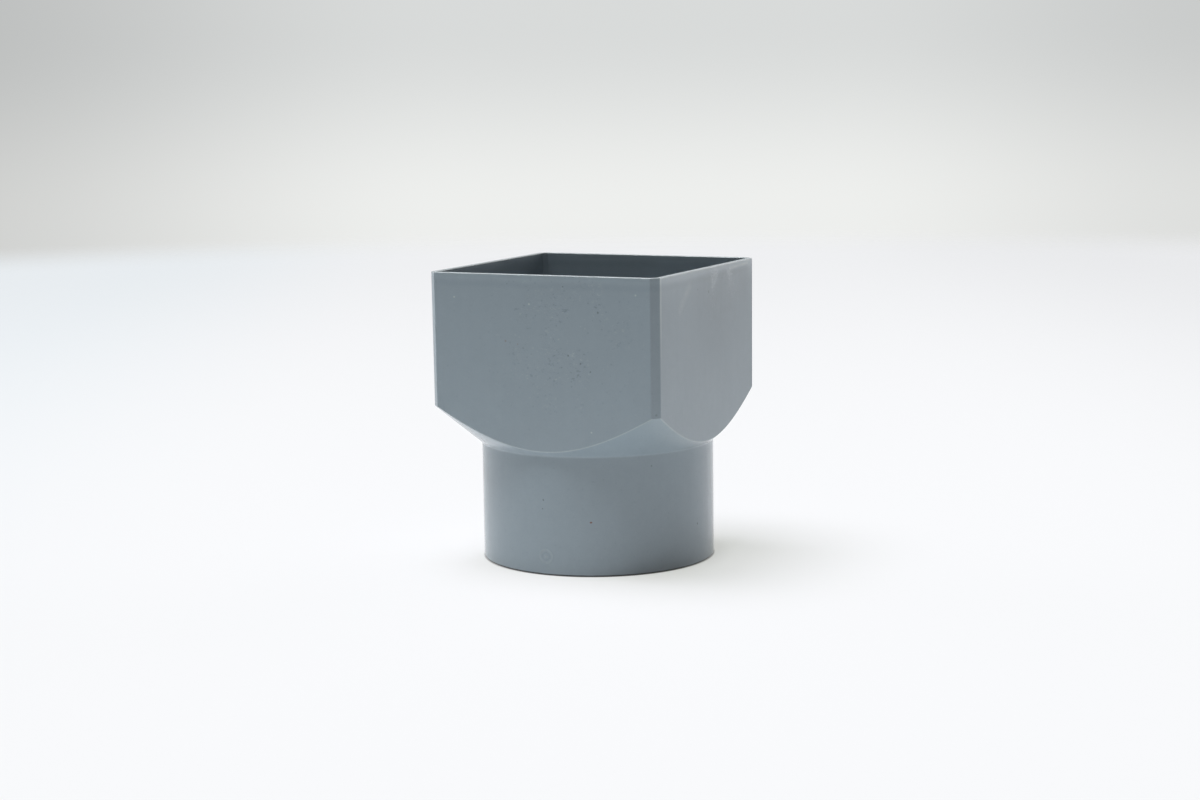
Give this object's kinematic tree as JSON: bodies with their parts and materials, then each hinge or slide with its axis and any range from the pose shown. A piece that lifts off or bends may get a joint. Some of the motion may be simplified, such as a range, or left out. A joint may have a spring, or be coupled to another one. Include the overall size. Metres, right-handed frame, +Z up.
{
  "type": "downpipe reducer",
  "caption": "Hollow moulded plastic adaptor: an open square socket above, a cone that its flats run out on, and a round spigot below, open right through.",
  "frame": {"origin": "centre of the spigot's foot, on the surface that the piece stands on", "axes": "+Z up along the flow axis, from the spigot to the socket's rim; X and Y square to the socket's flats"},
  "size_m": [0.084, 0.084, 0.1006],
  "materials": {
    "grey_pvc": "plain blue-grey unplasticised PVC, satin as moulded, with fine specks"
  },
  "bodies": {
    "root": {"reducer_body": "grey_pvc"}
  },
  "joints": []
}
